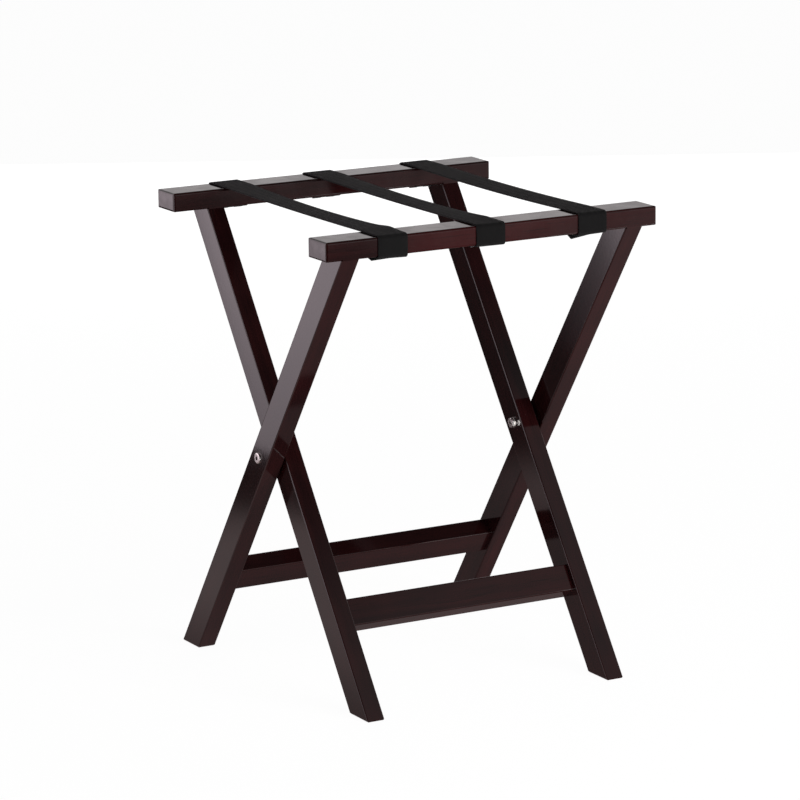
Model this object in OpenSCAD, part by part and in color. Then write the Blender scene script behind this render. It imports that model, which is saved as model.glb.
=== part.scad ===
// Folding luggage rack: two wooden frames crossed on a pair of pivot bolts, with webbing straps
// over the rails. X runs along the rails, -Y is the front, Z is up. The origin is on the floor
// under the middle of the open rack.

/* [Rack] */
// Height from the floor to the top of the rails
rack_h = 520; // [460:1:600]
// Lean of every leg from the vertical when the rack is open
leg_angle = 35.1; // [30:0.1:38]

/* [Rails] */
// Length of each rail
rail_len = 403; // [370:1:520]
// Height of a rail
rail_h = 21; // [18:0.5:28]
// How far a rail stands proud of the legs under it, front and back
rail_reveal = 0; // [0:0.1:2]
// How far the rails run on past the outer legs
rail_overhang = 18; // [5:0.5:40]
// Rounding of the rails' edges
rail_round = 2.5; // [1:0.5:4]

/* [Legs] */
// Width of a leg in the plane that it swings in
leg_w = 32.5; // [30:0.5:36]
// Thickness of a leg along the rails
leg_t = 21; // [18:0.5:26]
// Rounding of the legs' long edges
leg_round = 1.5; // [1:0.5:4]
// Chamfer round the bottom of a foot
foot_chamfer = 1.5; // [0.5:0.5:3]

/* [Stretchers] */
// Height of the stretchers above the floor, at the middle of the board
stretcher_z = 94; // [60:1:130]
// Width of a stretcher along the leg
stretcher_w = 31; // [24:1:40]
// Thickness of a stretcher
stretcher_t = 22; // [16:0.5:22]
// How far a stretcher lies behind the front edges of its legs
stretcher_set_back = 6; // [3:0.5:7]
// Rounding of the stretchers' long edges
stretcher_round = 1.5; // [0.5:0.5:3]

/* [Pivots] */
// Height of the bolts above the middle of the legs' crossing
pivot_lift = 2; // [0:0.5:3]
// Diameter of the pivot bolts
bolt_d = 6; // [5:0.5:8]
// Diameter of a bolt's head
bolt_head_d = 12; // [10:0.5:16]
// Height of a bolt's head
bolt_head_h = 2.2; // [2:0.1:4]
// Width across the flats of the hexagon socket in the head
socket_af = 4; // [3:0.5:5]
// Depth of the socket
socket_depth = 1.5; // [1:0.1:1.8]
// Length of bolt past the nut
bolt_proud = 0.2; // [0:0.1:4]
// Width across the flats of a nut
nut_af = 10; // [9.5:0.5:14]
// Height of a nut
nut_h = 3.2; // [3:0.1:8]
// Diameter of a washer under a nut
nut_washer_d = 12; // [12:0.5:18]
// Thickness of a washer under a nut
nut_washer_t = 1.6; // [1:0.1:2.5]
// Diameter of a spacer washer between two legs
spacer_d = 18; // [12:0.5:22]
// Thickness of a spacer washer
spacer_t = 2.3; // [2:0.1:6]

/* [Dowels] */
// Diameter of the dowels
dowel_d = 6; // [5:0.5:7]
// Distance between the two dowels of a joint
dowel_pitch = 12; // [10:0.5:13]
// Depth of a dowel in the end of a leg
dowel_in_leg_top = 16; // [10:1:17]
// Depth of a dowel in a rail
dowel_in_rail = 14; // [10:1:15]
// Depth of a dowel in the side of a leg
dowel_in_leg_side = 12; // [8:1:14]
// Depth of a dowel in the end of a stretcher
dowel_in_stretcher = 20; // [12:1:30]

/* [Straps] */
// Width of the webbing
strap_w = 35; // [25:1:45]
// Thickness of the webbing
strap_t = 1.5; // [1:0.1:2.5]
// Gap between an outer strap and the inner leg beside it
strap_side_gap = 0.5; // [0.5:0.5:20]
// How far the middle strap lies off the centre, towards the left
strap_off_centre = 4; // [0:1:15]
// Sag of the straps halfway between the rails
strap_sag = 2; // [0:0.5:10]
// Length of a strap's end under a rail, up to its fold
strap_tail = 24; // [22:1:33]
// Length of the turned-over end
strap_hem = 9; // [8:1:16]
// Gap inside the fold
hem_gap = 0.5; // [0.5:0.1:2]

/* [Staples] */
// Width of a staple's crown
staple_w = 10; // [8:0.5:12]
// Width of the staple wire
staple_wire_w = 1.2; // [0.8:0.1:1.4]
// Thickness of the staple wire
staple_wire_t = 0.6; // [0.5:0.1:0.9]
// Depth that a staple bites into the rail
staple_bite = 7; // [5:0.5:12]
// Distance between the middles of the two staples in a strap's end
staple_pitch = 18; // [14:0.5:20]
// Distance of the staples from the folded edge
staple_from_fold = 4.5; // [4:0.5:7]

/* [Clearances] */
// Radial clearance of a bolt in the legs, washers and nuts
bolt_clear = 0.05; // [0.02:0.01:0.08]
// Play on each side of a spacer and beside a nut washer
side_play = 0.1; // [0.05:0.05:0.3]
// Radial clearance of a dowel in its hole, and its glue space at each end
dowel_clear = 0.1; // [0.05:0.05:0.3]
// Gap between the webbing and what it lies on
strap_gap = 0.3; // [0.2:0.1:0.8]
// Gap round a staple's legs in the webbing
staple_clear = 0.3; // [0.2:0.1:0.5]
// Gap round a staple's legs in the wood
staple_fit = 0.05; // [0.02:0.01:0.1]

/* [Hidden] */

LEFT = -1;
RIGHT = 1;
FRONT = -1;
BACK = 1;

wood_color = [0.19, 0.10, 0.10];
dowel_color = [0.78, 0.62, 0.42];
steel_color = [0.72, 0.70, 0.70];
spacer_color = [0.12, 0.12, 0.13];
strap_color = [0.13, 0.13, 0.13];

round_fn = 64;
over = 1; // how far a cut runs past the face that it opens

// Heights and places that follow from the sizes above
leg_top = rack_h - rail_h;
cross_z = leg_top / 2;
pivot_z = cross_z + pivot_lift;
leg_cut = leg_w / cos(leg_angle);
rail_d = leg_cut + 2 * rail_reveal;
rail_y = cross_z * tan(leg_angle);
rail_out = rail_y + rail_d / 2;
rail_in = rail_y - rail_d / 2;
outer_leg_x = rail_len / 2 - rail_overhang - leg_t / 2;
leg_pitch_x = leg_t + spacer_t + 2 * side_play;
inner_leg_x = outer_leg_x - leg_pitch_x;
stretcher_down = (cross_z - stretcher_z) / cos(leg_angle);
stretcher_y = stretcher_set_back + (stretcher_t - leg_w) / 2;
inner_stretcher_len = 2 * inner_leg_x - leg_t;
outer_stretcher_len = 2 * outer_leg_x - leg_t;

// Dowels in a leg's top lie halfway between its axis there and its axis at their lower ends
top_dowel_in = dowel_in_leg_top * tan(leg_angle) / 2;

// Straps
strap_x = inner_leg_x - leg_t / 2 - strap_side_gap - strap_w / 2;
strap_lift = strap_gap + strap_t / 2;
strap_bend = rail_round + strap_lift;
hem_drop = strap_t + hem_gap;
staple_y = rail_out - strap_tail + staple_from_fold;
staple_crown_z = leg_top - strap_gap - 2 * strap_t - hem_gap - staple_clear - staple_wire_t;
staple_h = leg_top - staple_crown_z + staple_bite;
strap_places = [-strap_x, -strap_off_centre, strap_x];

// Heights in a pivot's stack, from the outer leg's outer face inwards
spacer_at = leg_t + side_play;
nut_washer_at = 2 * leg_t + spacer_t + 3 * side_play;
nut_at = nut_washer_at + nut_washer_t;
bolt_len = nut_at + nut_h + bolt_proud;

// A rectangle with rounded corners, centred
module rounded_profile(w, t, r) {
    square([w - 2 * r, t], center = true);
    square([w, t - 2 * r], center = true);
    for (sx = [-1, 1], sy = [-1, 1])
        translate([sx * (w / 2 - r), sy * (t / 2 - r)])
            circle(r, $fn = round_fn);
}

// Turns a profile drawn in Y and Z into a bar along X
module along_x(length) {
    rotate([90, 0, 90])
        linear_extrude(length, center = true)
            children();
}

// Turns a profile drawn in X and Z into a bar along Y
module along_y(length) {
    rotate([90, 0, 0])
        linear_extrude(length, center = true)
            children();
}

// A cylinder along X from x = 0
module rod_x(r, length) {
    rotate([0, 90, 0])
        cylinder(length, r = r, $fn = round_fn);
}

// Places what is drawn round a leg's axis, with the legs' crossing at the origin, in the rack.
// The outer frame (FRONT) leans with its top to the front, and the inner frame (BACK) to the back.
module in_frame(top_side) {
    translate([0, 0, cross_z])
        rotate([-top_side * leg_angle, 0, 0])
            children();
}

// Rails

module rail_blank() {
    intersection() {
        along_x(rail_len) rounded_profile(rail_d, rail_h, rail_round);
        along_y(rail_d) rounded_profile(rail_len, rail_h, rail_round);
        linear_extrude(rail_h, center = true) rounded_profile(rail_len, rail_d, rail_round);
    }
}

// The rail's lower edges stay square over a leg's flat faces, so that the two are flush there
module leg_seat() {
    translate([0, 0, (rail_round - rail_h) / 2])
        cube([leg_t - 2 * leg_round, rail_d, rail_round], center = true);
}

// Puts a pair of dowels, or their holes, where the legs of one frame meet its rail
module at_leg_tops(side, leg_x) {
    for (sx = [LEFT, RIGHT], step = [-0.5, 0.5])
        translate([sx * leg_x, side * (rail_y - top_dowel_in + step * dowel_pitch), leg_top])
            children();
}

module top_dowel_hole() {
    translate([0, 0, -dowel_in_leg_top - dowel_clear])
        cylinder(dowel_in_leg_top + dowel_in_rail + 2 * dowel_clear, r = dowel_d / 2 + dowel_clear,
                 $fn = round_fn);
}

module top_dowel() {
    translate([0, 0, -dowel_in_leg_top])
        dowel(dowel_in_leg_top + dowel_in_rail);
}

module rail(side, leg_x) {
    color(wood_color)
        difference() {
            translate([0, side * rail_y, rack_h - rail_h / 2]) {
                rail_blank();
                for (sx = [LEFT, RIGHT])
                    translate([sx * leg_x, 0, 0]) leg_seat();
            }
            at_leg_tops(side, leg_x) top_dowel_hole();
            for (x = strap_places)
                at_staples(side, x) staple_legs(staple_h + staple_fit, staple_fit);
        }
}

module front_rail() {
    rail(FRONT, outer_leg_x);
}

module back_rail() {
    rail(BACK, inner_leg_x);
}

// Legs

// The clipping outlines chamfer the foot, and widen upwards to clear the rest of the leg
module foot_clip_side(top_side) {
    foot_y = -top_side * rail_y;
    half = leg_cut / 2 - foot_chamfer;
    shift = top_side * tan(leg_angle) * leg_top;
    polygon([
        [foot_y - half, 0],
        [foot_y + half, 0],
        [foot_y + half + shift + leg_top, leg_top],
        [foot_y - half + shift - leg_top, leg_top]
    ]);
}

module foot_clip_front() {
    half = leg_t / 2 - foot_chamfer;
    polygon([[-half, 0], [half, 0], [half + leg_top, leg_top], [-half - leg_top, leg_top]]);
}

// One leg, drilled for its bolt and dowels, cut level under the rail and on the floor
module leg(side, top_side, leg_x) {
    color(wood_color)
        difference() {
            translate([side * leg_x, 0, 0])
                intersection() {
                    in_frame(top_side)
                        linear_extrude(2 * rack_h, center = true)
                            rounded_profile(leg_t, leg_w, leg_round);
                    along_x(leg_t + 2 * over) foot_clip_side(top_side);
                    along_y(4 * rack_h) foot_clip_front();
                }
            translate([side * leg_x - leg_t, 0, pivot_z])
                rod_x(bolt_d / 2 + bolt_clear, 2 * leg_t);
            at_leg_tops(top_side, leg_x) top_dowel_hole();
            in_frame(top_side)
                at_stretcher_ends(leg_x - leg_t / 2) stretcher_dowel_hole();
        }
}

module outer_leg_left() {
    leg(LEFT, FRONT, outer_leg_x);
}

module outer_leg_right() {
    leg(RIGHT, FRONT, outer_leg_x);
}

module inner_leg_left() {
    leg(LEFT, BACK, inner_leg_x);
}

module inner_leg_right() {
    leg(RIGHT, BACK, inner_leg_x);
}

// Stretchers

// Puts a pair of dowels, or their holes, at each end of a stretcher. They are drawn along X,
// from the end face into the leg.
module at_stretcher_ends(end_x) {
    for (turn = [0, 180], step = [-0.5, 0.5])
        rotate([0, 0, turn])
            translate([end_x, (turn == 0 ? 1 : -1) * stretcher_y, step * dowel_pitch - stretcher_down])
                children();
}

module stretcher_dowel_hole() {
    translate([-dowel_in_stretcher - dowel_clear, 0, 0])
        rod_x(dowel_d / 2 + dowel_clear, dowel_in_stretcher + dowel_in_leg_side + 2 * dowel_clear);
}

module stretcher_dowel() {
    translate([-dowel_in_stretcher, 0, 0])
        rotate([0, 90, 0])
            dowel(dowel_in_stretcher + dowel_in_leg_side);
}

module stretcher(top_side, length) {
    color(wood_color)
        in_frame(top_side)
            difference() {
                translate([0, stretcher_y, -stretcher_down])
                    along_x(length) rounded_profile(stretcher_t, stretcher_w, stretcher_round);
                at_stretcher_ends(length / 2) stretcher_dowel_hole();
            }
}

module front_stretcher() {
    stretcher(BACK, inner_stretcher_len);
}

module back_stretcher() {
    stretcher(FRONT, outer_stretcher_len);
}

// Dowels, along Z from z = 0, with chamfered ends

module dowel(length) {
    r = dowel_d / 2;
    tip = dowel_d / 8;
    color(dowel_color)
        rotate_extrude($fn = round_fn)
            polygon([
                [0, 0], [r - tip, 0], [r, tip], [r, length - tip], [r - tip, length], [0, length]
            ]);
}

module front_rail_dowels() {
    at_leg_tops(FRONT, outer_leg_x) top_dowel();
}

module back_rail_dowels() {
    at_leg_tops(BACK, inner_leg_x) top_dowel();
}

module front_stretcher_dowels() {
    in_frame(BACK) at_stretcher_ends(inner_stretcher_len / 2) stretcher_dowel();
}

module back_stretcher_dowels() {
    in_frame(FRONT) at_stretcher_ends(outer_stretcher_len / 2) stretcher_dowel();
}

// Pivots. Each stack is drawn along Z, from the outer leg's outer face inwards.

module pivot(side) {
    translate([side * (outer_leg_x + leg_t / 2), 0, pivot_z])
        rotate([0, -side * 90, 0])
            children();
}

// A pan head with a domed rim, a hexagon socket and a chamfered tip
module bolt() {
    r = bolt_d / 2;
    head_r = bolt_head_d / 2;
    dome = bolt_head_h * 0.6;
    tip = 0.6;
    color(steel_color)
        difference() {
            rotate_extrude($fn = round_fn)
                polygon([
                    [0, -bolt_head_h],
                    for (a = [0 : 15 : 90]) [
                        head_r - dome * (1 - sin(a)),
                        -bolt_head_h + dome * (1 - cos(a))
                    ],
                    [head_r, 0],
                    [r, 0],
                    [r, bolt_len - tip],
                    [r - tip, bolt_len],
                    [0, bolt_len]
                ]);
            translate([0, 0, -bolt_head_h - over])
                cylinder(socket_depth + over, d = socket_af / cos(30), $fn = 6);
        }
}

// A hexagon nut whose corners are turned down on both faces
module nut() {
    corner_r = nut_af / 2 / cos(30);
    turned = (corner_r - nut_af / 2) * tan(30);
    color(steel_color)
        translate([0, 0, nut_at])
            difference() {
                intersection() {
                    cylinder(nut_h, r = corner_r, $fn = 6);
                    rotate_extrude($fn = round_fn)
                        polygon([
                            [0, 0],
                            [nut_af / 2, 0],
                            [corner_r, turned],
                            [corner_r, nut_h - turned],
                            [nut_af / 2, nut_h],
                            [0, nut_h]
                        ]);
                }
                translate([0, 0, -over])
                    cylinder(nut_h + 2 * over, r = bolt_d / 2 + bolt_clear, $fn = round_fn);
            }
}

module washer(at, diameter, thickness) {
    translate([0, 0, at])
        difference() {
            cylinder(thickness, d = diameter, $fn = round_fn);
            translate([0, 0, -over])
                cylinder(thickness + 2 * over, r = bolt_d / 2 + bolt_clear, $fn = round_fn);
        }
}

module pivot_bolt_left() {
    pivot(LEFT) bolt();
}

module pivot_bolt_right() {
    pivot(RIGHT) bolt();
}

module pivot_nut_left() {
    pivot(LEFT) nut();
}

module pivot_nut_right() {
    pivot(RIGHT) nut();
}

module spacer_washer_left() {
    color(spacer_color) pivot(LEFT) washer(spacer_at, spacer_d, spacer_t);
}

module spacer_washer_right() {
    color(spacer_color) pivot(RIGHT) washer(spacer_at, spacer_d, spacer_t);
}

module nut_washer_left() {
    color(steel_color) pivot(LEFT) washer(nut_washer_at, nut_washer_d, nut_washer_t);
}

module nut_washer_right() {
    color(steel_color) pivot(RIGHT) washer(nut_washer_at, nut_washer_d, nut_washer_t);
}

// Straps

// Points on an arc in the plane of a strap's path
function arc(centre, r, from, to, steps) =
    [for (i = [0 : steps]) let (a = from + (to - from) * i / steps) centre + r * [cos(a), sin(a)]];

// The outline of a ribbon of thickness t along the middle line path
function ribbon(path, t) =
    let (
        last = len(path) - 1,
        along = [for (i = [0 : last]) path[min(i + 1, last)] - path[max(i - 1, 0)]],
        aside = [for (d = along) [-d[1], d[0]] / norm(d) * t / 2]
    )
    concat(
        [for (i = [0 : last]) path[i] + aside[i]],
        [for (i = [last : -1 : 0]) path[i] - aside[i]]
    );

// From the turned-over end, round the fold, under the rail, up its outer face and onto its top
wrap_path = concat(
    [[-rail_out + strap_tail - strap_hem, leg_top - strap_lift - hem_drop]],
    arc([-rail_out + strap_tail, leg_top - strap_lift - hem_drop / 2], hem_drop / 2, -90, 90, 8),
    arc([-rail_out + rail_round, leg_top + rail_round], strap_bend, -90, -180, 5),
    arc([-rail_out + rail_round, rack_h - rail_round], strap_bend, 180, 90, 5)
);

// The free span between the rails hangs in a shallow curve
span_half = rail_in + rail_round;
span_steps = 16;
span_path = [
    for (i = [0 : span_steps])
        let (u = 2 * i / span_steps - 1)
        [span_half * u, rack_h + strap_lift - strap_sag * (1 - u * u)]
];

strap_path = concat(
    wrap_path,
    span_path,
    [for (i = [len(wrap_path) - 1 : -1 : 0]) [-wrap_path[i][0], wrap_path[i][1]]]
);

module strap(x) {
    color(strap_color)
        difference() {
            translate([x, 0, 0]) along_x(strap_w) polygon(ribbon(strap_path, strap_t));
            for (side = [FRONT, BACK])
                at_staples(side, x) staple_legs(leg_top - staple_crown_z, staple_clear);
        }
}

module strap_left() {
    strap(-strap_x);
}

module strap_middle() {
    strap(-strap_off_centre);
}

module strap_right() {
    strap(strap_x);
}

// Staples, drawn from the underside of the crown upwards

module at_staples(side, x) {
    for (step = [-0.5, 0.5])
        translate([x + step * staple_pitch, side * staple_y, staple_crown_z])
            children();
}

module staple_legs(height, clear) {
    for (sx = [-1, 1])
        translate([sx * (staple_w - staple_wire_t) / 2, 0, height / 2])
            cube([staple_wire_t + 2 * clear, staple_wire_w + 2 * clear, height], center = true);
}

module staple() {
    color(steel_color) {
        translate([0, 0, staple_wire_t / 2])
            cube([staple_w, staple_wire_w, staple_wire_t], center = true);
        staple_legs(staple_h, 0);
    }
}

module staples(side) {
    for (x = strap_places)
        at_staples(side, x) staple();
}

module front_rail_staples() {
    staples(FRONT);
}

module back_rail_staples() {
    staples(BACK);
}

front_rail();
back_rail();
outer_leg_left();
outer_leg_right();
inner_leg_left();
inner_leg_right();
front_stretcher();
back_stretcher();
front_rail_dowels();
back_rail_dowels();
front_stretcher_dowels();
back_stretcher_dowels();
pivot_bolt_left();
pivot_bolt_right();
pivot_nut_left();
pivot_nut_right();
spacer_washer_left();
spacer_washer_right();
nut_washer_left();
nut_washer_right();
strap_left();
strap_middle();
strap_right();
front_rail_staples();
back_rail_staples();
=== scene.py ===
"""The looks of a folding luggage rack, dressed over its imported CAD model."""

import math

import bmesh
import bpy
import numpy as np
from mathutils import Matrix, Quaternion, Vector


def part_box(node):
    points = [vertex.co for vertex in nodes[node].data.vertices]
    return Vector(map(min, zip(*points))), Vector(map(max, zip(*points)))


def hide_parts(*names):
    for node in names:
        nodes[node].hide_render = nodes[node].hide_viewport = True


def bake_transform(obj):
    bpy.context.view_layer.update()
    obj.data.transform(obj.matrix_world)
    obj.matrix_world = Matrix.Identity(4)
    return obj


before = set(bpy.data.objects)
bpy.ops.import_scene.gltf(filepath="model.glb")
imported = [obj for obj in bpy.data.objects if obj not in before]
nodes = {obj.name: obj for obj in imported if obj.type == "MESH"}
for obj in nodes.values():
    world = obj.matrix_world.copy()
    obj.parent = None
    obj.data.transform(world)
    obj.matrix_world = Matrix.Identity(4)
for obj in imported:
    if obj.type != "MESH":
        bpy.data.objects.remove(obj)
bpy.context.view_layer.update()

# The camera stands in front and to the left of the rack, a little above the rails. It looks
# through a long lens, so that the rails' edges stay nearly parallel.
CAMERA_AZIMUTH = math.radians(29.321)
CAMERA_ELEVATION = math.radians(12.693)
CAMERA_ROLL = math.radians(-0.658)
CAMERA_DISTANCE = 5.0254
CAMERA_TARGET = Vector((0.19567, 0.36062, 0.20143))
SENSOR_WIDTH = 36.0
LENS_PIXELS = 4187.19
PICTURE_PIXELS = 800
FARTHEST_SEEN = 60.0

camera_data = bpy.data.cameras.new("camera")
camera_data.sensor_width = SENSOR_WIDTH
camera_data.lens = camera_data.sensor_width * LENS_PIXELS / PICTURE_PIXELS
camera_data.clip_end = FARTHEST_SEEN
camera = bpy.data.objects.new("camera", camera_data)
bpy.context.scene.collection.objects.link(camera)
camera_back = Vector((
    -math.sin(CAMERA_AZIMUTH) * math.cos(CAMERA_ELEVATION),
    -math.cos(CAMERA_AZIMUTH) * math.cos(CAMERA_ELEVATION),
    math.sin(CAMERA_ELEVATION),
))
camera.location = CAMERA_TARGET + CAMERA_DISTANCE * camera_back
camera.rotation_mode = "QUATERNION"
camera.rotation_quaternion = (
    (-camera_back).to_track_quat("-Z", "Y") @ Quaternion((0, 0, 1), CAMERA_ROLL)
)
bpy.context.scene.camera = camera
bpy.context.scene.view_settings.view_transform = "Standard"

# The frame's bars: rails, legs and stretchers of a fine-pored hardwood, dowelled together, stained
# dark red-brown and sprayed with a glossy lacquer. The grain runs along each bar, the edges carry
# a painted highlight in patches, the front rail's middle is redder, and the rails' lacquer has
# dull patches.
LEAN = math.radians(35.1)
PAST_ENDS = 1.0
HALF_LEG = (0.0105, 0.01625, PAST_ENDS)
HALF_RAIL = tuple((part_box("front_rail")[1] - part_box("front_rail")[0]) / 2)
HALF_STRETCHER = (PAST_ENDS, 0.011, 0.0155)
ALONG_X, ALONG_Z = 0, 2
STRETCHED_GRAIN = 0.045
STRAND_STEP = (0.37, 0.21, 0.13)
STAIN = (0.040, 0.0080, 0.0085, 1)
DEEP_STAIN = (0.017, 0.0045, 0.0050, 1)
PORE_STAIN = (0.0075, 0.0020, 0.0022, 1)
# A lighter colour for a painted highlight along the bars' edges.
EDGE_HIGHLIGHT_COLOUR = (0.055, 0.018, 0.016, 1)
# A redder colour for the front rail's middle.
REDDER_MIDDLE_COLOUR = (0.080, 0.0070, 0.0080, 1)
REDDER_MIDDLE_FROM_LEFT = (-0.15, -0.07, 0.0, 1.0)
REDDER_MIDDLE_TO_RIGHT = (-0.04, 0.14, 0.55, 0.10)
EDGE_HIGHLIGHT_REACH = (0.0004, 0.0016, 0.5, 0.0)
FIGURE_SHARE, CLOUD_SHARE = 0.55, 0.45
LACQUER_GLOSS = 0.08
LACQUER_IOR = 1.5


def add_node(tree, kind, sockets=None, **settings):
    made = tree.nodes.new(kind)
    for key, value in settings.items():
        setattr(made, key, value)
    for socket, value in (sockets or {}).items():
        if isinstance(value, bpy.types.NodeSocket):
            tree.links.new(value, made.inputs[socket])
        else:
            made.inputs[socket].default_value = value
    return made


def new_material(name):
    material = bpy.data.materials.new(name)
    material.use_nodes = True
    material.node_tree.nodes.clear()
    return material, material.node_tree


def finish_node(name, material):
    for slot in nodes[name].material_slots:
        slot.material = material


def ramp(tree, value, low, high, at_low=0.0, at_high=1.0):
    """Eases from one number to another while the value goes from low to high."""
    return add_node(tree, "ShaderNodeMapRange", {
        "Value": value, "From Min": low, "From Max": high, "To Min": at_low, "To Max": at_high,
    }, interpolation_type="SMOOTHSTEP").outputs["Result"]


def math_node(tree, operation, *values):
    return add_node(
        tree, "ShaderNodeMath", dict(enumerate(values)), operation=operation
    ).outputs[0]


def vector_node(tree, operation, *values):
    return add_node(
        tree, "ShaderNodeVectorMath", dict(enumerate(values)), operation=operation
    ).outputs


def object_coords(tree):
    return add_node(tree, "ShaderNodeTexCoord").outputs["Object"]


def noise(tree, at, scale, detail, roughness=0.5, distortion=0.0):
    return add_node(tree, "ShaderNodeTexNoise", {
        "Vector": at, "Scale": scale, "Detail": detail, "Roughness": roughness,
        "Distortion": distortion,
    }).outputs["Fac"]


def mixed_colour(tree, share, first, second):
    return add_node(
        tree, "ShaderNodeMix", {0: share, 6: first, 7: second}, data_type="RGBA"
    ).outputs[2]


def bump(tree, height, strength, distance):
    return add_node(tree, "ShaderNodeBump", {
        "Strength": strength, "Distance": distance, "Height": height,
    }).outputs[0]


def end_in_shader(tree, sockets):
    shader = add_node(tree, "ShaderNodeBsdfPrincipled", sockets)
    add_node(tree, "ShaderNodeOutputMaterial", {"Surface": shader.outputs[0]})


def edge_distance(tree, coords, half_size):
    """How far a point on a bar's surface lies from the nearest of the bar's edges."""
    inset = vector_node(tree, "SUBTRACT", half_size, vector_node(tree, "ABSOLUTE", coords)[0])
    x, y, z = add_node(tree, "ShaderNodeSeparateXYZ", {0: inset[0]}).outputs
    return math_node(
        tree, "MAXIMUM",
        math_node(tree, "MINIMUM", x, y),
        math_node(tree, "MINIMUM", math_node(tree, "MAXIMUM", x, y), z),
    )


def redder_rail_middle(tree, coords, stained):
    """Makes the front rail's middle redder."""
    along_rail = add_node(tree, "ShaderNodeSeparateXYZ", {0: coords}).outputs["X"]
    redder = math_node(
        tree, "MULTIPLY",
        ramp(tree, along_rail, *REDDER_MIDDLE_FROM_LEFT), ramp(tree, along_rail, *REDDER_MIDDLE_TO_RIGHT),
    )
    return mixed_colour(tree, redder, stained, REDDER_MIDDLE_COLOUR)


def lacquered_wood(bar, turn, half_size, grain_axis, strand):
    low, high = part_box(bar)
    material, tree = new_material(f"lacquer_{bar}")
    coords = add_node(tree, "ShaderNodeMapping", {
        "Vector": object_coords(tree), "Location": (low + high) / 2, "Rotation": (turn, 0, 0),
    }, vector_type="TEXTURE").outputs[0]
    stretch = [1.0, 1.0, 1.0]
    stretch[grain_axis] = STRETCHED_GRAIN
    own_place = [step * strand for step in STRAND_STEP]
    strands = vector_node(tree, "MULTIPLY_ADD", coords, stretch, own_place)[0]
    figure = noise(tree, strands, scale=70.0, detail=5.0, roughness=0.62, distortion=0.4)
    pores = noise(tree, strands, scale=620.0, detail=2.0)
    clouds = noise(tree, coords, scale=11.0 + strand, detail=2.0)
    smudges = noise(tree, coords, scale=34.0 + strand, detail=3.0, roughness=0.6)
    peel = noise(tree, coords, scale=260.0, detail=1.0, roughness=0.4)
    depth = math_node(
        tree, "ADD",
        math_node(tree, "MULTIPLY", ramp(tree, figure, 0.32, 0.70), FIGURE_SHARE),
        math_node(tree, "MULTIPLY", ramp(tree, clouds, 0.30, 0.70), CLOUD_SHARE),
    )
    stained = mixed_colour(tree, depth, DEEP_STAIN, STAIN)
    if bar == "front_rail":
        stained = redder_rail_middle(tree, coords, stained)
    pored = mixed_colour(tree, ramp(tree, pores, 0.56, 0.72, 0.0, 0.5), stained, PORE_STAIN)
    # Painted highlight: the colour is lighter along the bars' edges, in patches.
    painted_edge_highlight = math_node(
        tree, "MULTIPLY",
        ramp(tree, edge_distance(tree, coords, half_size), *EDGE_HIGHLIGHT_REACH),
        ramp(tree, smudges, 0.36, 0.66),
    )
    end_in_shader(tree, {
        "Base Color": mixed_colour(tree, painted_edge_highlight, pored, EDGE_HIGHLIGHT_COLOUR),
        "Roughness": ramp(tree, smudges, 0.3, 0.7, 0.42, 0.52),
        "Specular IOR Level": 0.0,
        "Normal": bump(tree, pores, strength=0.10, distance=0.0002),
        "Coat Weight": ramp(tree, smudges, 0.36, 0.64, 0.80, 1.0) if "rail" in bar else 1.0,
        "Coat Roughness": LACQUER_GLOSS,
        "Coat IOR": LACQUER_IOR,
        "Coat Normal": bump(tree, peel, strength=0.03, distance=0.0004),
    })
    return material


for strand, (bar, turn, half_size, grain_axis) in enumerate((
    ("front_rail", 0, HALF_RAIL, ALONG_X),
    ("back_rail", 0, HALF_RAIL, ALONG_X),
    ("front_stretcher", -LEAN, HALF_STRETCHER, ALONG_X),
    ("back_stretcher", LEAN, HALF_STRETCHER, ALONG_X),
    ("outer_leg_left", LEAN, HALF_LEG, ALONG_Z),
    ("outer_leg_right", LEAN, HALF_LEG, ALONG_Z),
    ("inner_leg_left", -LEAN, HALF_LEG, ALONG_Z),
    ("inner_leg_right", -LEAN, HALF_LEG, ALONG_Z),
)):
    finish_node(bar, lacquered_wood(bar, turn, half_size, grain_axis, strand))

# The dowels in the frame's joints: plain turned beech, glued two by two into the legs' tops and
# the stretchers' ends, and hidden in the bars.
PALE_BEECH = (0.62, 0.42, 0.24, 1)
BROWN_BEECH = (0.48, 0.30, 0.16, 1)

beech, tree = new_material("bare_beech")
flecks = noise(tree, object_coords(tree), scale=900.0, detail=3.0)
end_in_shader(tree, {
    "Base Color": mixed_colour(tree, flecks, PALE_BEECH, BROWN_BEECH), "Roughness": 0.7,
})
for joint in ("front_rail", "back_rail", "front_stretcher", "back_stretcher"):
    finish_node(f"{joint}_dowels", beech)

# The two pivots: a zinc-plated bolt through both legs, a black nylon washer between the legs, and
# a plated washer and a thin nut inside. Near the pivot's axis the plated parts are painted dark,
# as painted shade in the socket of the bolt's head.
PIVOT_HEIGHT = (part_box("pivot_bolt_left")[0].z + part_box("pivot_bolt_left")[1].z) / 2
BRIGHT_ZINC = (0.66, 0.64, 0.62, 1)
DULL_ZINC = (0.46, 0.44, 0.43, 1)
PAINTED_SOCKET_SHADE = (0.10, 0.09, 0.085, 1)
SOCKET_SHADE_RADII = (0.0019, 0.0024, 1.0, 0.0)
BLACK_NYLON = (0.018, 0.018, 0.019, 1)
GREY_NYLON = (0.028, 0.028, 0.029, 1)

plated, tree = new_material("zinc_plate")
coords = object_coords(tree)
turned = noise(tree, coords, scale=1500.0, detail=2.0)
tarnish = noise(tree, coords, scale=240.0, detail=3.0)
off_axis = vector_node(tree, "MULTIPLY_ADD", coords, (0, 1, 1), (0, 0, -PIVOT_HEIGHT))[0]
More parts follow.
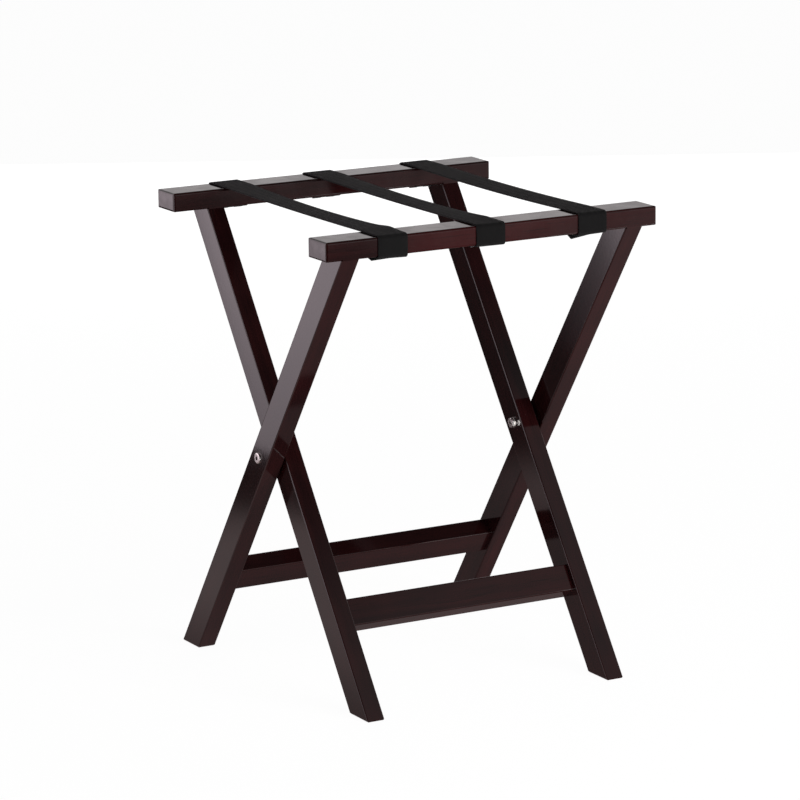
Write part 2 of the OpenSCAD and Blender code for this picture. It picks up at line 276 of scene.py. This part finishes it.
# Painted shade: the plated parts are dark near the pivot's axis, in the bolt head's socket.
painted_socket_shade = ramp(tree, vector_node(tree, "LENGTH", off_axis)["Value"], *SOCKET_SHADE_RADII)
zinc = mixed_colour(tree, ramp(tree, tarnish, 0.35, 0.7), BRIGHT_ZINC, DULL_ZINC)
end_in_shader(tree, {
    "Base Color": mixed_colour(tree, painted_socket_shade, zinc, PAINTED_SOCKET_SHADE),
    "Metallic": 1.0,
    "Roughness": ramp(tree, tarnish, 0.3, 0.7, 0.20, 0.34),
    "Normal": bump(tree, turned, strength=0.15, distance=0.0001),
})

nylon, tree = new_material("black_nylon")
grit = noise(tree, object_coords(tree), scale=800.0, detail=2.0)
end_in_shader(tree, {
    "Base Color": mixed_colour(tree, grit, BLACK_NYLON, GREY_NYLON), "Roughness": 0.55,
})

for side in ("left", "right"):
    for name in ("pivot_bolt", "pivot_nut", "nut_washer"):
        finish_node(f"{name}_{side}", plated)
    finish_node(f"spacer_washer_{side}", nylon)

# The straps: black woven webbing, each end brought round a rail, folded under and stapled to the
# rail's underside. They sag by a few millimetres, more along one edge than the other, hang a
# little loose under the front rail, and ruck up slightly where they leave its top.
WEBBING_WIDTH = 0.035
WEBBING_THICKNESS = 0.0015
WEBBING_CROWN = 0.0002
WEBBING_EDGE_ROUND = 0.48
WEBBING_EDGE_STEPS = 3
WEBBING_SIDE_CUTS = 5
WEBBING_GAP = 0.0002
RAIL_ROUND = 0.0025
HEM_LENGTH = 0.009
HEM_GAP = 0.0003
TAIL_LENGTH = 0.024
HEM_STEPS = 14
FOLD_STEPS = 10
TAIL_STEPS = 28
CORNER_STEPS = 8
FACE_STEPS = 12
TOP_STEPS = 24
SPAN_STEPS = 200
# Each pair is for the strap's left and right edge: how far it sags between the rails, hangs loose
# under the front rail, curls down at the hem's corner, and rises in the ruck.
STRAPS = {
    "left": {
        "front_x": -0.1233, "back_x": -0.1203, "sag": (0.0010, 0.0036), "loose": (0.0005, 0.0016),
        "curl": (0.0022, 0.0), "rise": (0.0, 0.0013),
    },
    "middle": {
        "front_x": -0.0055, "back_x": -0.0024, "sag": (0.0012, 0.0031), "loose": (0.0, 0.0004),
        "curl": (0.0, 0.0), "rise": (0.0, 0.0004),
    },
    "right": {
        "front_x": 0.1200, "back_x": 0.1230, "sag": (0.0020, 0.0022), "loose": (0.0008, 0.0),
        "curl": (0.0036, 0.0), "rise": (0.0, 0.0),
    },
}
# The slack under the front rail ends at this point of the path, on the rail's lower outer edge.
UNDER_POINTS = 58
HEM_CURL_POWER = 1.2
RUCK_LENGTH = 0.018
CROWN_ONSET = 6


def arc_points(centre, radius, start, end, steps):
    angles = np.radians(np.linspace(start, end, steps + 1))
    return np.column_stack((
        centre[0] + radius * np.cos(angles), centre[1] + radius * np.sin(angles),
    ))


def line_points(start, end, steps):
    return np.linspace(start, end, steps + 1)[:-1]


def rail_wrap(outer_y, inner_y, low_z, high_z):
    """From the hem, round the fold, under the rail, up its outer face and over its top."""
    lift = WEBBING_GAP + WEBBING_THICKNESS / 2
    bend = RAIL_ROUND + lift
    inwards = math.copysign(1, inner_y - outer_y)
    drop = WEBBING_THICKNESS + HEM_GAP
    hem_z = low_z - lift - drop
    under_z = low_z - lift
    top_z = high_z + lift
    top_end = abs(inner_y - outer_y) - RAIL_ROUND
    half = np.vstack((
        line_points((TAIL_LENGTH - HEM_LENGTH, hem_z), (TAIL_LENGTH, hem_z), HEM_STEPS),
        arc_points((TAIL_LENGTH, hem_z + drop / 2), drop / 2, -90, 90, FOLD_STEPS),
        line_points((TAIL_LENGTH, under_z), (RAIL_ROUND, under_z), TAIL_STEPS)[1:],
        arc_points((RAIL_ROUND, low_z + RAIL_ROUND), bend, -90, -180, CORNER_STEPS),
        line_points((-lift, low_z + RAIL_ROUND), (-lift, high_z - RAIL_ROUND), FACE_STEPS)[1:],
        arc_points((RAIL_ROUND, high_z - RAIL_ROUND), bend, 180, 90, CORNER_STEPS),
        line_points((RAIL_ROUND, top_z), (top_end, top_z), TOP_STEPS)[1:],
    ))
    half[:, 0] = outer_y + inwards * half[:, 0]
    return half


def webbing_tree():
    """Sweeps a flat, crowned section along a path, and drops each edge by its own amount."""
    tree = bpy.data.node_groups.new("webbing", "GeometryNodeTree")
    tree.interface.new_socket("Path", in_out="INPUT", socket_type="NodeSocketGeometry")
    for label, value in (
        ("Width", WEBBING_WIDTH), ("Thickness", WEBBING_THICKNESS), ("Crown", WEBBING_CROWN),
    ):
        socket = tree.interface.new_socket(label, in_out="INPUT", socket_type="NodeSocketFloat")
        socket.default_value = value
    tree.interface.new_socket("Webbing", in_out="INPUT", socket_type="NodeSocketMaterial")
    tree.interface.new_socket("Strap", in_out="OUTPUT", socket_type="NodeSocketGeometry")
    given = add_node(tree, "NodeGroupInput").outputs
    half_width = math_node(tree, "DIVIDE", given["Width"], 2.0)
    outline = add_node(tree, "GeometryNodeCurvePrimitiveQuadrilateral", {
        "Width": given["Width"], "Height": given["Thickness"],
    }, mode="RECTANGLE")
    rounded = add_node(tree, "GeometryNodeFilletCurve", {
        "Curve": outline.outputs[0],
        "Radius": math_node(tree, "MULTIPLY", given["Thickness"], WEBBING_EDGE_ROUND),
        "Count": WEBBING_EDGE_STEPS,
    }, mode="POLY")
    section = add_node(tree, "GeometryNodeSubdivideCurve", {
        "Curve": rounded.outputs[0], "Cuts": WEBBING_SIDE_CUTS,
    })
    section_x = add_node(tree, "ShaderNodeSeparateXYZ", {
        0: add_node(tree, "GeometryNodeInputPosition").outputs[0],
    }).outputs["X"]
    across = add_node(tree, "GeometryNodeStoreNamedAttribute", {
        "Geometry": section.outputs[0], "Name": "across",
        "Value": math_node(tree, "DIVIDE", section_x, half_width),
    }, data_type="FLOAT", domain="POINT")
    curve = add_node(tree, "GeometryNodeMeshToCurve", {0: given["Path"]})
    swept = add_node(tree, "GeometryNodeCurveToMesh", {
        "Curve": curve.outputs[0], "Profile Curve": across.outputs[0], "Fill Caps": True,
    })

    def kept(name):
        return add_node(
            tree, "GeometryNodeInputNamedAttribute", {"Name": name}, data_type="FLOAT"
        ).outputs["Attribute"]

    side = kept("across")
    share = math_node(tree, "MULTIPLY_ADD", side, 0.5, 0.5)
    edge_drop = add_node(tree, "ShaderNodeMix", {
        0: share, 2: kept("left_drop"), 3: kept("right_drop"),
    }, data_type="FLOAT").outputs[0]
    crown = math_node(
        tree, "MULTIPLY", given["Crown"],
        math_node(tree, "SUBTRACT", 1.0, math_node(tree, "MULTIPLY", side, side)),
    )
    lift = math_node(
        tree, "SUBTRACT", math_node(tree, "MULTIPLY", crown, kept("free")), edge_drop
    )
    hung = add_node(tree, "GeometryNodeSetPosition", {
        "Geometry": swept.outputs[0],
        "Offset": add_node(tree, "ShaderNodeCombineXYZ", {"Z": lift}).outputs[0],
    })
    laid_flat = add_node(tree, "ShaderNodeCombineXYZ", {
        "X": math_node(tree, "MULTIPLY", side, half_width), "Y": kept("along"),
    })
    mapped = add_node(tree, "GeometryNodeStoreNamedAttribute", {
        "Geometry": hung.outputs[0], "Name": "UVMap", "Value": laid_flat.outputs[0],
    }, data_type="FLOAT2", domain="CORNER")
    smooth = add_node(tree, "GeometryNodeSetShadeSmooth", {0: mapped.outputs[0]})
    plain = add_node(tree, "GeometryNodeRealizeInstances", {0: smooth.outputs[0]})
    dressed = add_node(tree, "GeometryNodeSetMaterial", {
        "Geometry": plain.outputs[0], "Material": given["Webbing"],
    })
    add_node(tree, "NodeGroupOutput", {0: dressed.outputs[0]})
    return tree


CHEVRON = WEBBING_WIDTH / 8
THREAD = 0.0011
PICK = THREAD * 0.7
TWILL_SHARE, PICK_SHARE = 0.65, 0.35
THREAD_SHARE, DUST_SHARE = 0.6, 0.4
BLACK_YARN = (0.0068, 0.0065, 0.0066, 1)
DUSTY_YARN = (0.0195, 0.0187, 0.0190, 1)

webbing, tree = new_material("black_webbing")
uv = add_node(tree, "ShaderNodeSeparateXYZ", {
    0: add_node(tree, "ShaderNodeTexCoord").outputs["UV"],
}).outputs
slant = math_node(tree, "PINGPONG", math_node(tree, "ADD", uv["X"], 1.0), CHEVRON)
twill = math_node(tree, "SINE", math_node(
    tree, "MULTIPLY", math_node(tree, "ADD", slant, uv["Y"]), 2 * math.pi / THREAD
))
picks = math_node(tree, "SINE", math_node(tree, "MULTIPLY", uv["X"], 2 * math.pi / PICK))
weave = math_node(
    tree, "ADD",
    math_node(tree, "MULTIPLY", twill, TWILL_SHARE),
    math_node(tree, "MULTIPLY", picks, PICK_SHARE),
)
dust = noise(tree, object_coords(tree), scale=30.0, detail=4.0, roughness=0.6)
paleness = math_node(
    tree, "ADD",
    math_node(tree, "MULTIPLY", ramp(tree, weave, -1.0, 1.0), THREAD_SHARE),
    math_node(tree, "MULTIPLY", dust, DUST_SHARE),
)
end_in_shader(tree, {
    "Base Color": mixed_colour(tree, paleness, BLACK_YARN, DUSTY_YARN),
    "Roughness": 0.82,
    "Specular IOR Level": 0.15,
    "Sheen Weight": 0.055,
    "Sheen Roughness": 0.5,
    "Normal": bump(tree, weave, strength=0.6, distance=0.00025),
})

front_low, front_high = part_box("front_rail")
back_low, back_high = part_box("back_rail")
front_wrap = rail_wrap(front_low.y, front_high.y, front_low.z, front_high.z)
back_wrap = rail_wrap(back_high.y, back_low.y, back_low.z, back_high.z)
span_start, span_end = front_wrap[-1], back_wrap[-1]
webbing_line = np.vstack((
    front_wrap, np.linspace(span_start, span_end, SPAN_STEPS + 1)[1:-1], back_wrap[::-1],
))
webbing_steps = np.linalg.norm(np.diff(webbing_line, axis=0), axis=1)
webbing_along = np.concatenate(((0.0,), np.cumsum(webbing_steps)))

count = len(webbing_line)
first, last = len(front_wrap), count - len(back_wrap)
point = np.arange(count)
share = np.clip((point - first + 1) / (last - first + 1), 0, 1)
free = 4 * share * (1 - share)
hem = np.clip(1 - point / HEM_STEPS, 0, 1) ** HEM_CURL_POWER
under = np.clip(1 - (point - UNDER_POINTS) / FACE_STEPS, 0, 1)
ruck = np.exp(-((webbing_along - webbing_along[first]) / RUCK_LENGTH) ** 2)

swept_webbing = webbing_tree()
for side, strap in STRAPS.items():
    path_mesh = bpy.data.meshes.new(f"path_{side}")
    path_mesh.from_pydata(
        [
            (strap["front_x"] + s * (strap["back_x"] - strap["front_x"]), y, z)
            for s, (y, z) in zip(share, webbing_line)
        ],
        [(i, i + 1) for i in range(count - 1)],
        [],
    )
    along_path = {"along": webbing_along, "free": np.minimum(1, CROWN_ONSET * free)}
    for edge, sag, loose, curl, rise in zip(
        ("left", "right"), strap["sag"], strap["loose"], strap["curl"], strap["rise"]
    ):
        along_path[f"{edge}_drop"] = sag * free + loose * under + curl * hem - rise * ruck
    for label, values in along_path.items():
        attribute = path_mesh.attributes.new(label, "FLOAT", "POINT")
        attribute.data.foreach_set("value", np.asarray(values, np.float32))
    path_object = bpy.data.objects.new(f"path_{side}", path_mesh)
    bpy.context.scene.collection.objects.link(path_object)
    modifier = path_object.modifiers.new("webbing", "NODES")
    modifier.node_group = swept_webbing
    for socket in swept_webbing.interface.items_tree:
        if socket.in_out == "INPUT" and socket.name == "Webbing":
            modifier[socket.identifier] = webbing
    graph = bpy.context.evaluated_depsgraph_get()
    strap_mesh = bpy.data.meshes.new_from_object(
        path_object.evaluated_get(graph), preserve_all_data_layers=True, depsgraph=graph
    )
    bpy.data.objects.remove(path_object)
    shape = bmesh.new()
    shape.from_mesh(strap_mesh)
    bmesh.ops.recalc_face_normals(shape, faces=shape.faces)
    shape.to_mesh(strap_mesh)
    shape.free()
    piece = bpy.data.objects.new(f"webbing_{side}", strap_mesh)
    bpy.context.scene.collection.objects.link(piece)
    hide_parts(f"strap_{side}")
    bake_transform(piece)

# The staples: plain galvanised wire, driven up through the webbing's folded ends into the rails'
# undersides, two at each end of a strap.
BRIGHT_WIRE = (0.55, 0.55, 0.56, 1)
GREY_WIRE = (0.40, 0.40, 0.41, 1)

wire, tree = new_material("galvanised_wire")
spangle = noise(tree, object_coords(tree), scale=700.0, detail=2.0)
end_in_shader(tree, {
    "Base Color": mixed_colour(tree, spangle, BRIGHT_WIRE, GREY_WIRE),
    "Metallic": 1.0,
    "Roughness": 0.38,
})
for rail in ("front_rail", "back_rail"):
    finish_node(f"{rail}_staples", wire)

# The studio: a plain white floor that runs into a white background, lit by a wide lamp in front,
# a weaker one behind and the floor itself. The lacquer mirrors a soft box on the left, a card over
# the front, two small cards low in front, a soft sky and the floor. The floor's mirrored image is
# tinted red and painted: painted light beside and in front of the rack, painted shadow round it.
WHITE = (1, 1, 1, 1)
FLOOR_RADIUS = 12.0
FLOOR_DROP = 0.0002
FLOOR_PALENESS = 0.965
FLOOR_SHADOW = (0.2, 0.2, 0.2, 1)
FLOOR_GLOSS = 0.04
FLOOR_TINT = (1.25, 1.0, 1.0, 1)
FLOOR_LEFT_START = (-0.56, -0.485, 0.0, 1.0)
FLOOR_LEFT_FADE = (-0.33, -0.10, 0.245, 0.0)
FLOOR_RIGHT_RISE = (0.14, 0.60, 0.115, 0.255)
FLOOR_BACK_FADE = (0.52, 0.86, 1.0, 0.0)
FLOOR_FRONT_FADE = (-1.2, -0.25, 1.0, 0.0)
FLOOR_FRONT_RIGHT = (1.00, 1.40, -0.19, 0.12)
FLOOR_FRONT_FAR = (-2.05, -1.85, 0.0, 0.12)
FLOOR_BOUNCE = (-0.5, 0.0, 0.35, 0.55)


def seen_by(tree, to_camera, to_gloss, to_rest):
    """Picks a shader by what looks at it: the camera, the gloss or the plain diffuse light."""
    path = add_node(tree, "ShaderNodeLightPath").outputs
    direct = math_node(tree, "MAXIMUM", path["Is Camera Ray"], path["Is Transmission Ray"])
    indirect = add_node(tree, "ShaderNodeMixShader", {
        0: path["Is Glossy Ray"], 1: to_rest, 2: to_gloss,
    }).outputs[0]
    return add_node(tree, "ShaderNodeMixShader", {0: direct, 1: indirect, 2: to_camera}).outputs[0]


def emission(tree, strength, colour=WHITE):
    return add_node(
        tree, "ShaderNodeEmission", {"Color": colour, "Strength": strength}
    ).outputs[0]


def place_of(tree):
    return add_node(tree, "ShaderNodeSeparateXYZ", {0: object_coords(tree)}).outputs


def add_stage_piece(name, mesh, material):
    mesh.materials.append(material)
    piece = bpy.data.objects.new(name, mesh)
    bpy.context.scene.collection.objects.link(piece)
    return piece


floor_material, tree = new_material("studio_floor")
place = place_of(tree)
left_of_rack = math_node(
    tree, "MULTIPLY",
    ramp(tree, place["X"], *FLOOR_LEFT_FADE), ramp(tree, place["X"], *FLOOR_LEFT_START),
)
right_of_rack = ramp(tree, place["X"], *FLOOR_RIGHT_RISE)
beside_rack = math_node(
    tree, "MULTIPLY",
    math_node(tree, "ADD", left_of_rack, right_of_rack),
    ramp(tree, place["Y"], *FLOOR_BACK_FADE),
)
in_front = math_node(
    tree, "MULTIPLY",
    ramp(tree, place["Y"], *FLOOR_FRONT_FADE),
    math_node(
        tree, "ADD",
        ramp(tree, place["X"], *FLOOR_FRONT_RIGHT), ramp(tree, place["Y"], *FLOOR_FRONT_FAR),
    ),
)
# What the lacquer mirrors of the floor: painted light beside and in front of the rack, painted
# shadow round it.
mirrored = math_node(
    tree, "ADD", math_node(tree, "ADD", beside_rack, FLOOR_GLOSS), in_front
)
add_node(tree, "ShaderNodeOutputMaterial", {"Surface": seen_by(
    tree,
    to_camera=add_node(tree, "ShaderNodeAddShader", {
        0: emission(tree, FLOOR_PALENESS),
        1: add_node(tree, "ShaderNodeBsdfDiffuse", {"Color": FLOOR_SHADOW}).outputs[0],
    }).outputs[0],
    to_gloss=emission(tree, mirrored, FLOOR_TINT),
    to_rest=emission(tree, ramp(tree, place["X"], *FLOOR_BOUNCE)),
)})
floor_mesh = bpy.data.meshes.new("floor")
floor_shape = bmesh.new()
bmesh.ops.create_circle(floor_shape, cap_ends=True, segments=96, radius=FLOOR_RADIUS)
bmesh.ops.translate(floor_shape, verts=floor_shape.verts, vec=(0, 0, -FLOOR_DROP))
floor_shape.to_mesh(floor_mesh)
floor_shape.free()
add_stage_piece("floor", floor_mesh, floor_material)

SOFT_BOX_X = -0.62
SOFT_BOX_Y = (-0.25, 1.30)
SOFT_BOX_Z = (0.035, 1.10)
SOFT_BOX_TINT = (1.02, 0.88, 0.95, 1)
SOFT_BOX_BACK_RISE = (0.80, 1.00, 1.00, 1.06)
SOFT_BOX_BACK_SLANT = -0.6
SOFT_BOX_BACK_EDGE = (0.88, 1.00, 0.70, 0.0)
SOFT_BOX_BACK_SPILL = (0.94, 1.28, 0.30, 0.0)
SOFT_BOX_TOP_RISE = (0.02, 0.34, 1.15, 1.80)


def add_mirrored_panel(name, corners, material):
    """A panel that the gloss mirrors, but that neither the camera nor the diffuse light sees."""
    mesh = bpy.data.meshes.new(name)
    mesh.from_pydata(corners, [], [(0, 1, 2, 3)])
    panel = add_stage_piece(name, mesh, material)
    panel.visible_camera = False
    panel.visible_diffuse = False
    panel.visible_transmission = False
    panel.visible_shadow = False


soft_box_cloth, tree = new_material("soft_box_cloth")
place = place_of(tree)
towards_back_edge = math_node(
    tree, "MULTIPLY_ADD", place["Z"], SOFT_BOX_BACK_SLANT, place["Y"]
)
back_edge = math_node(
    tree, "ADD",
    ramp(tree, towards_back_edge, *SOFT_BOX_BACK_EDGE),
    ramp(tree, towards_back_edge, *SOFT_BOX_BACK_SPILL),
)
towards_back = math_node(
    tree, "MULTIPLY", ramp(tree, place["Y"], *SOFT_BOX_BACK_RISE), back_edge
)
soft_box_light = math_node(
    tree, "MULTIPLY", towards_back, ramp(tree, place["Z"], *SOFT_BOX_TOP_RISE)
)
add_node(tree, "ShaderNodeOutputMaterial", {
    "Surface": emission(tree, soft_box_light, SOFT_BOX_TINT),
})
add_mirrored_panel("soft_box", [
    (SOFT_BOX_X, SOFT_BOX_Y[0], SOFT_BOX_Z[0]), (SOFT_BOX_X, SOFT_BOX_Y[1], SOFT_BOX_Z[0]),
    (SOFT_BOX_X, SOFT_BOX_Y[1], SOFT_BOX_Z[1]), (SOFT_BOX_X, SOFT_BOX_Y[0], SOFT_BOX_Z[1]),
], soft_box_cloth)

CARD_X = (-0.4, 3.0)
CARD_Y = (-3.0, 0.4)
CARD_Z = 1.5
CARD_SLANT_X, CARD_SLANT_Y = 0.81, -0.585
CARD_FRONT_RISE = (1.02, 1.50, 0.03, 0.30)

card_paper, tree = new_material("card_paper")
place = place_of(tree)
towards_front_right = math_node(
    tree, "MULTIPLY_ADD", place["X"], CARD_SLANT_X,
    math_node(tree, "MULTIPLY", place["Y"], CARD_SLANT_Y),
)
add_node(tree, "ShaderNodeOutputMaterial", {
    "Surface": emission(tree, ramp(tree, towards_front_right, *CARD_FRONT_RISE)),
})
add_mirrored_panel("overhead_card", [
    (CARD_X[0], CARD_Y[0], CARD_Z), (CARD_X[0], CARD_Y[1], CARD_Z),
    (CARD_X[1], CARD_Y[1], CARD_Z), (CARD_X[1], CARD_Y[0], CARD_Z),
], card_paper)

# Two small bright cards low in front. The flat of the right nut mirrors one of them towards the
# camera, and the other by way of the lacquer behind the nut.
NUT_CARD_Y = -0.5
NUT_CARD_Z = 0.12
NUT_CARD_HALF = 0.085

for name, middle_x, strength in (("right_nut_card", 0.43, 2.5), ("left_nut_card", -0.16, 16.0)):
    paper, tree = new_material(f"{name}_paper")
    add_node(tree, "ShaderNodeOutputMaterial", {"Surface": emission(tree, strength)})
    add_mirrored_panel(name, [
        (middle_x + step_x * NUT_CARD_HALF, NUT_CARD_Y, NUT_CARD_Z + step_z * NUT_CARD_HALF)
        for step_x, step_z in ((-1, -1), (1, -1), (1, 1), (-1, 1))
    ], paper)

HORIZON_TINT = (1.03, 0.975, 0.985, 1)
SKY_UPWARDS_FADE = (0.38, 0.70, 0.73, 0.03)
SKY_BACKWARDS_RISE = (0.12, 0.50, 0.03, 0.60)
SKY_LIGHT = 0.065


def background(tree, strength, colour=WHITE):
    return add_node(
        tree, "ShaderNodeBackground", {"Color": colour, "Strength": strength}
    ).outputs[0]


world = bpy.data.worlds.new("studio")
bpy.context.scene.world = world
world.use_nodes = True
tree = world.node_tree
tree.nodes.clear()
direction = add_node(tree, "ShaderNodeSeparateXYZ", {
    0: add_node(tree, "ShaderNodeTexCoord").outputs["Generated"],
}).outputs
sky = math_node(
    tree, "MAXIMUM",
    ramp(tree, direction["Z"], *SKY_UPWARDS_FADE),
    ramp(tree, direction["Y"], *SKY_BACKWARDS_RISE),
)
add_node(tree, "ShaderNodeOutputWorld", {"Surface": seen_by(
    tree,
    to_camera=background(tree, 1.0),
    to_gloss=background(tree, sky, HORIZON_TINT),
    to_rest=background(tree, SKY_LIGHT),
)})

LAMP_WIDTH, LAMP_HEIGHT = 2.0, 1.2
LAMPS_AIM = Vector((0, 0, 0.3))

for name, watts, stand in (
    ("front_lamp", 45.0, Vector((0.9, -3.2, 0.7))), ("back_lamp", 24.0, Vector((1.6, 3.0, 0.1))),
):
    light = bpy.data.lights.new(name, "AREA")
    light.shape = "RECTANGLE"
    light.size = LAMP_WIDTH
    light.size_y = LAMP_HEIGHT
    light.energy = watts
    lamp = bpy.data.objects.new(name, light)
    bpy.context.scene.collection.objects.link(lamp)
    lamp.location = stand
    lamp.rotation_mode = "QUATERNION"
    lamp.rotation_quaternion = (LAMPS_AIM - stand).to_track_quat("-Z", "Y")
    lamp.visible_camera = False
    lamp.visible_glossy = False
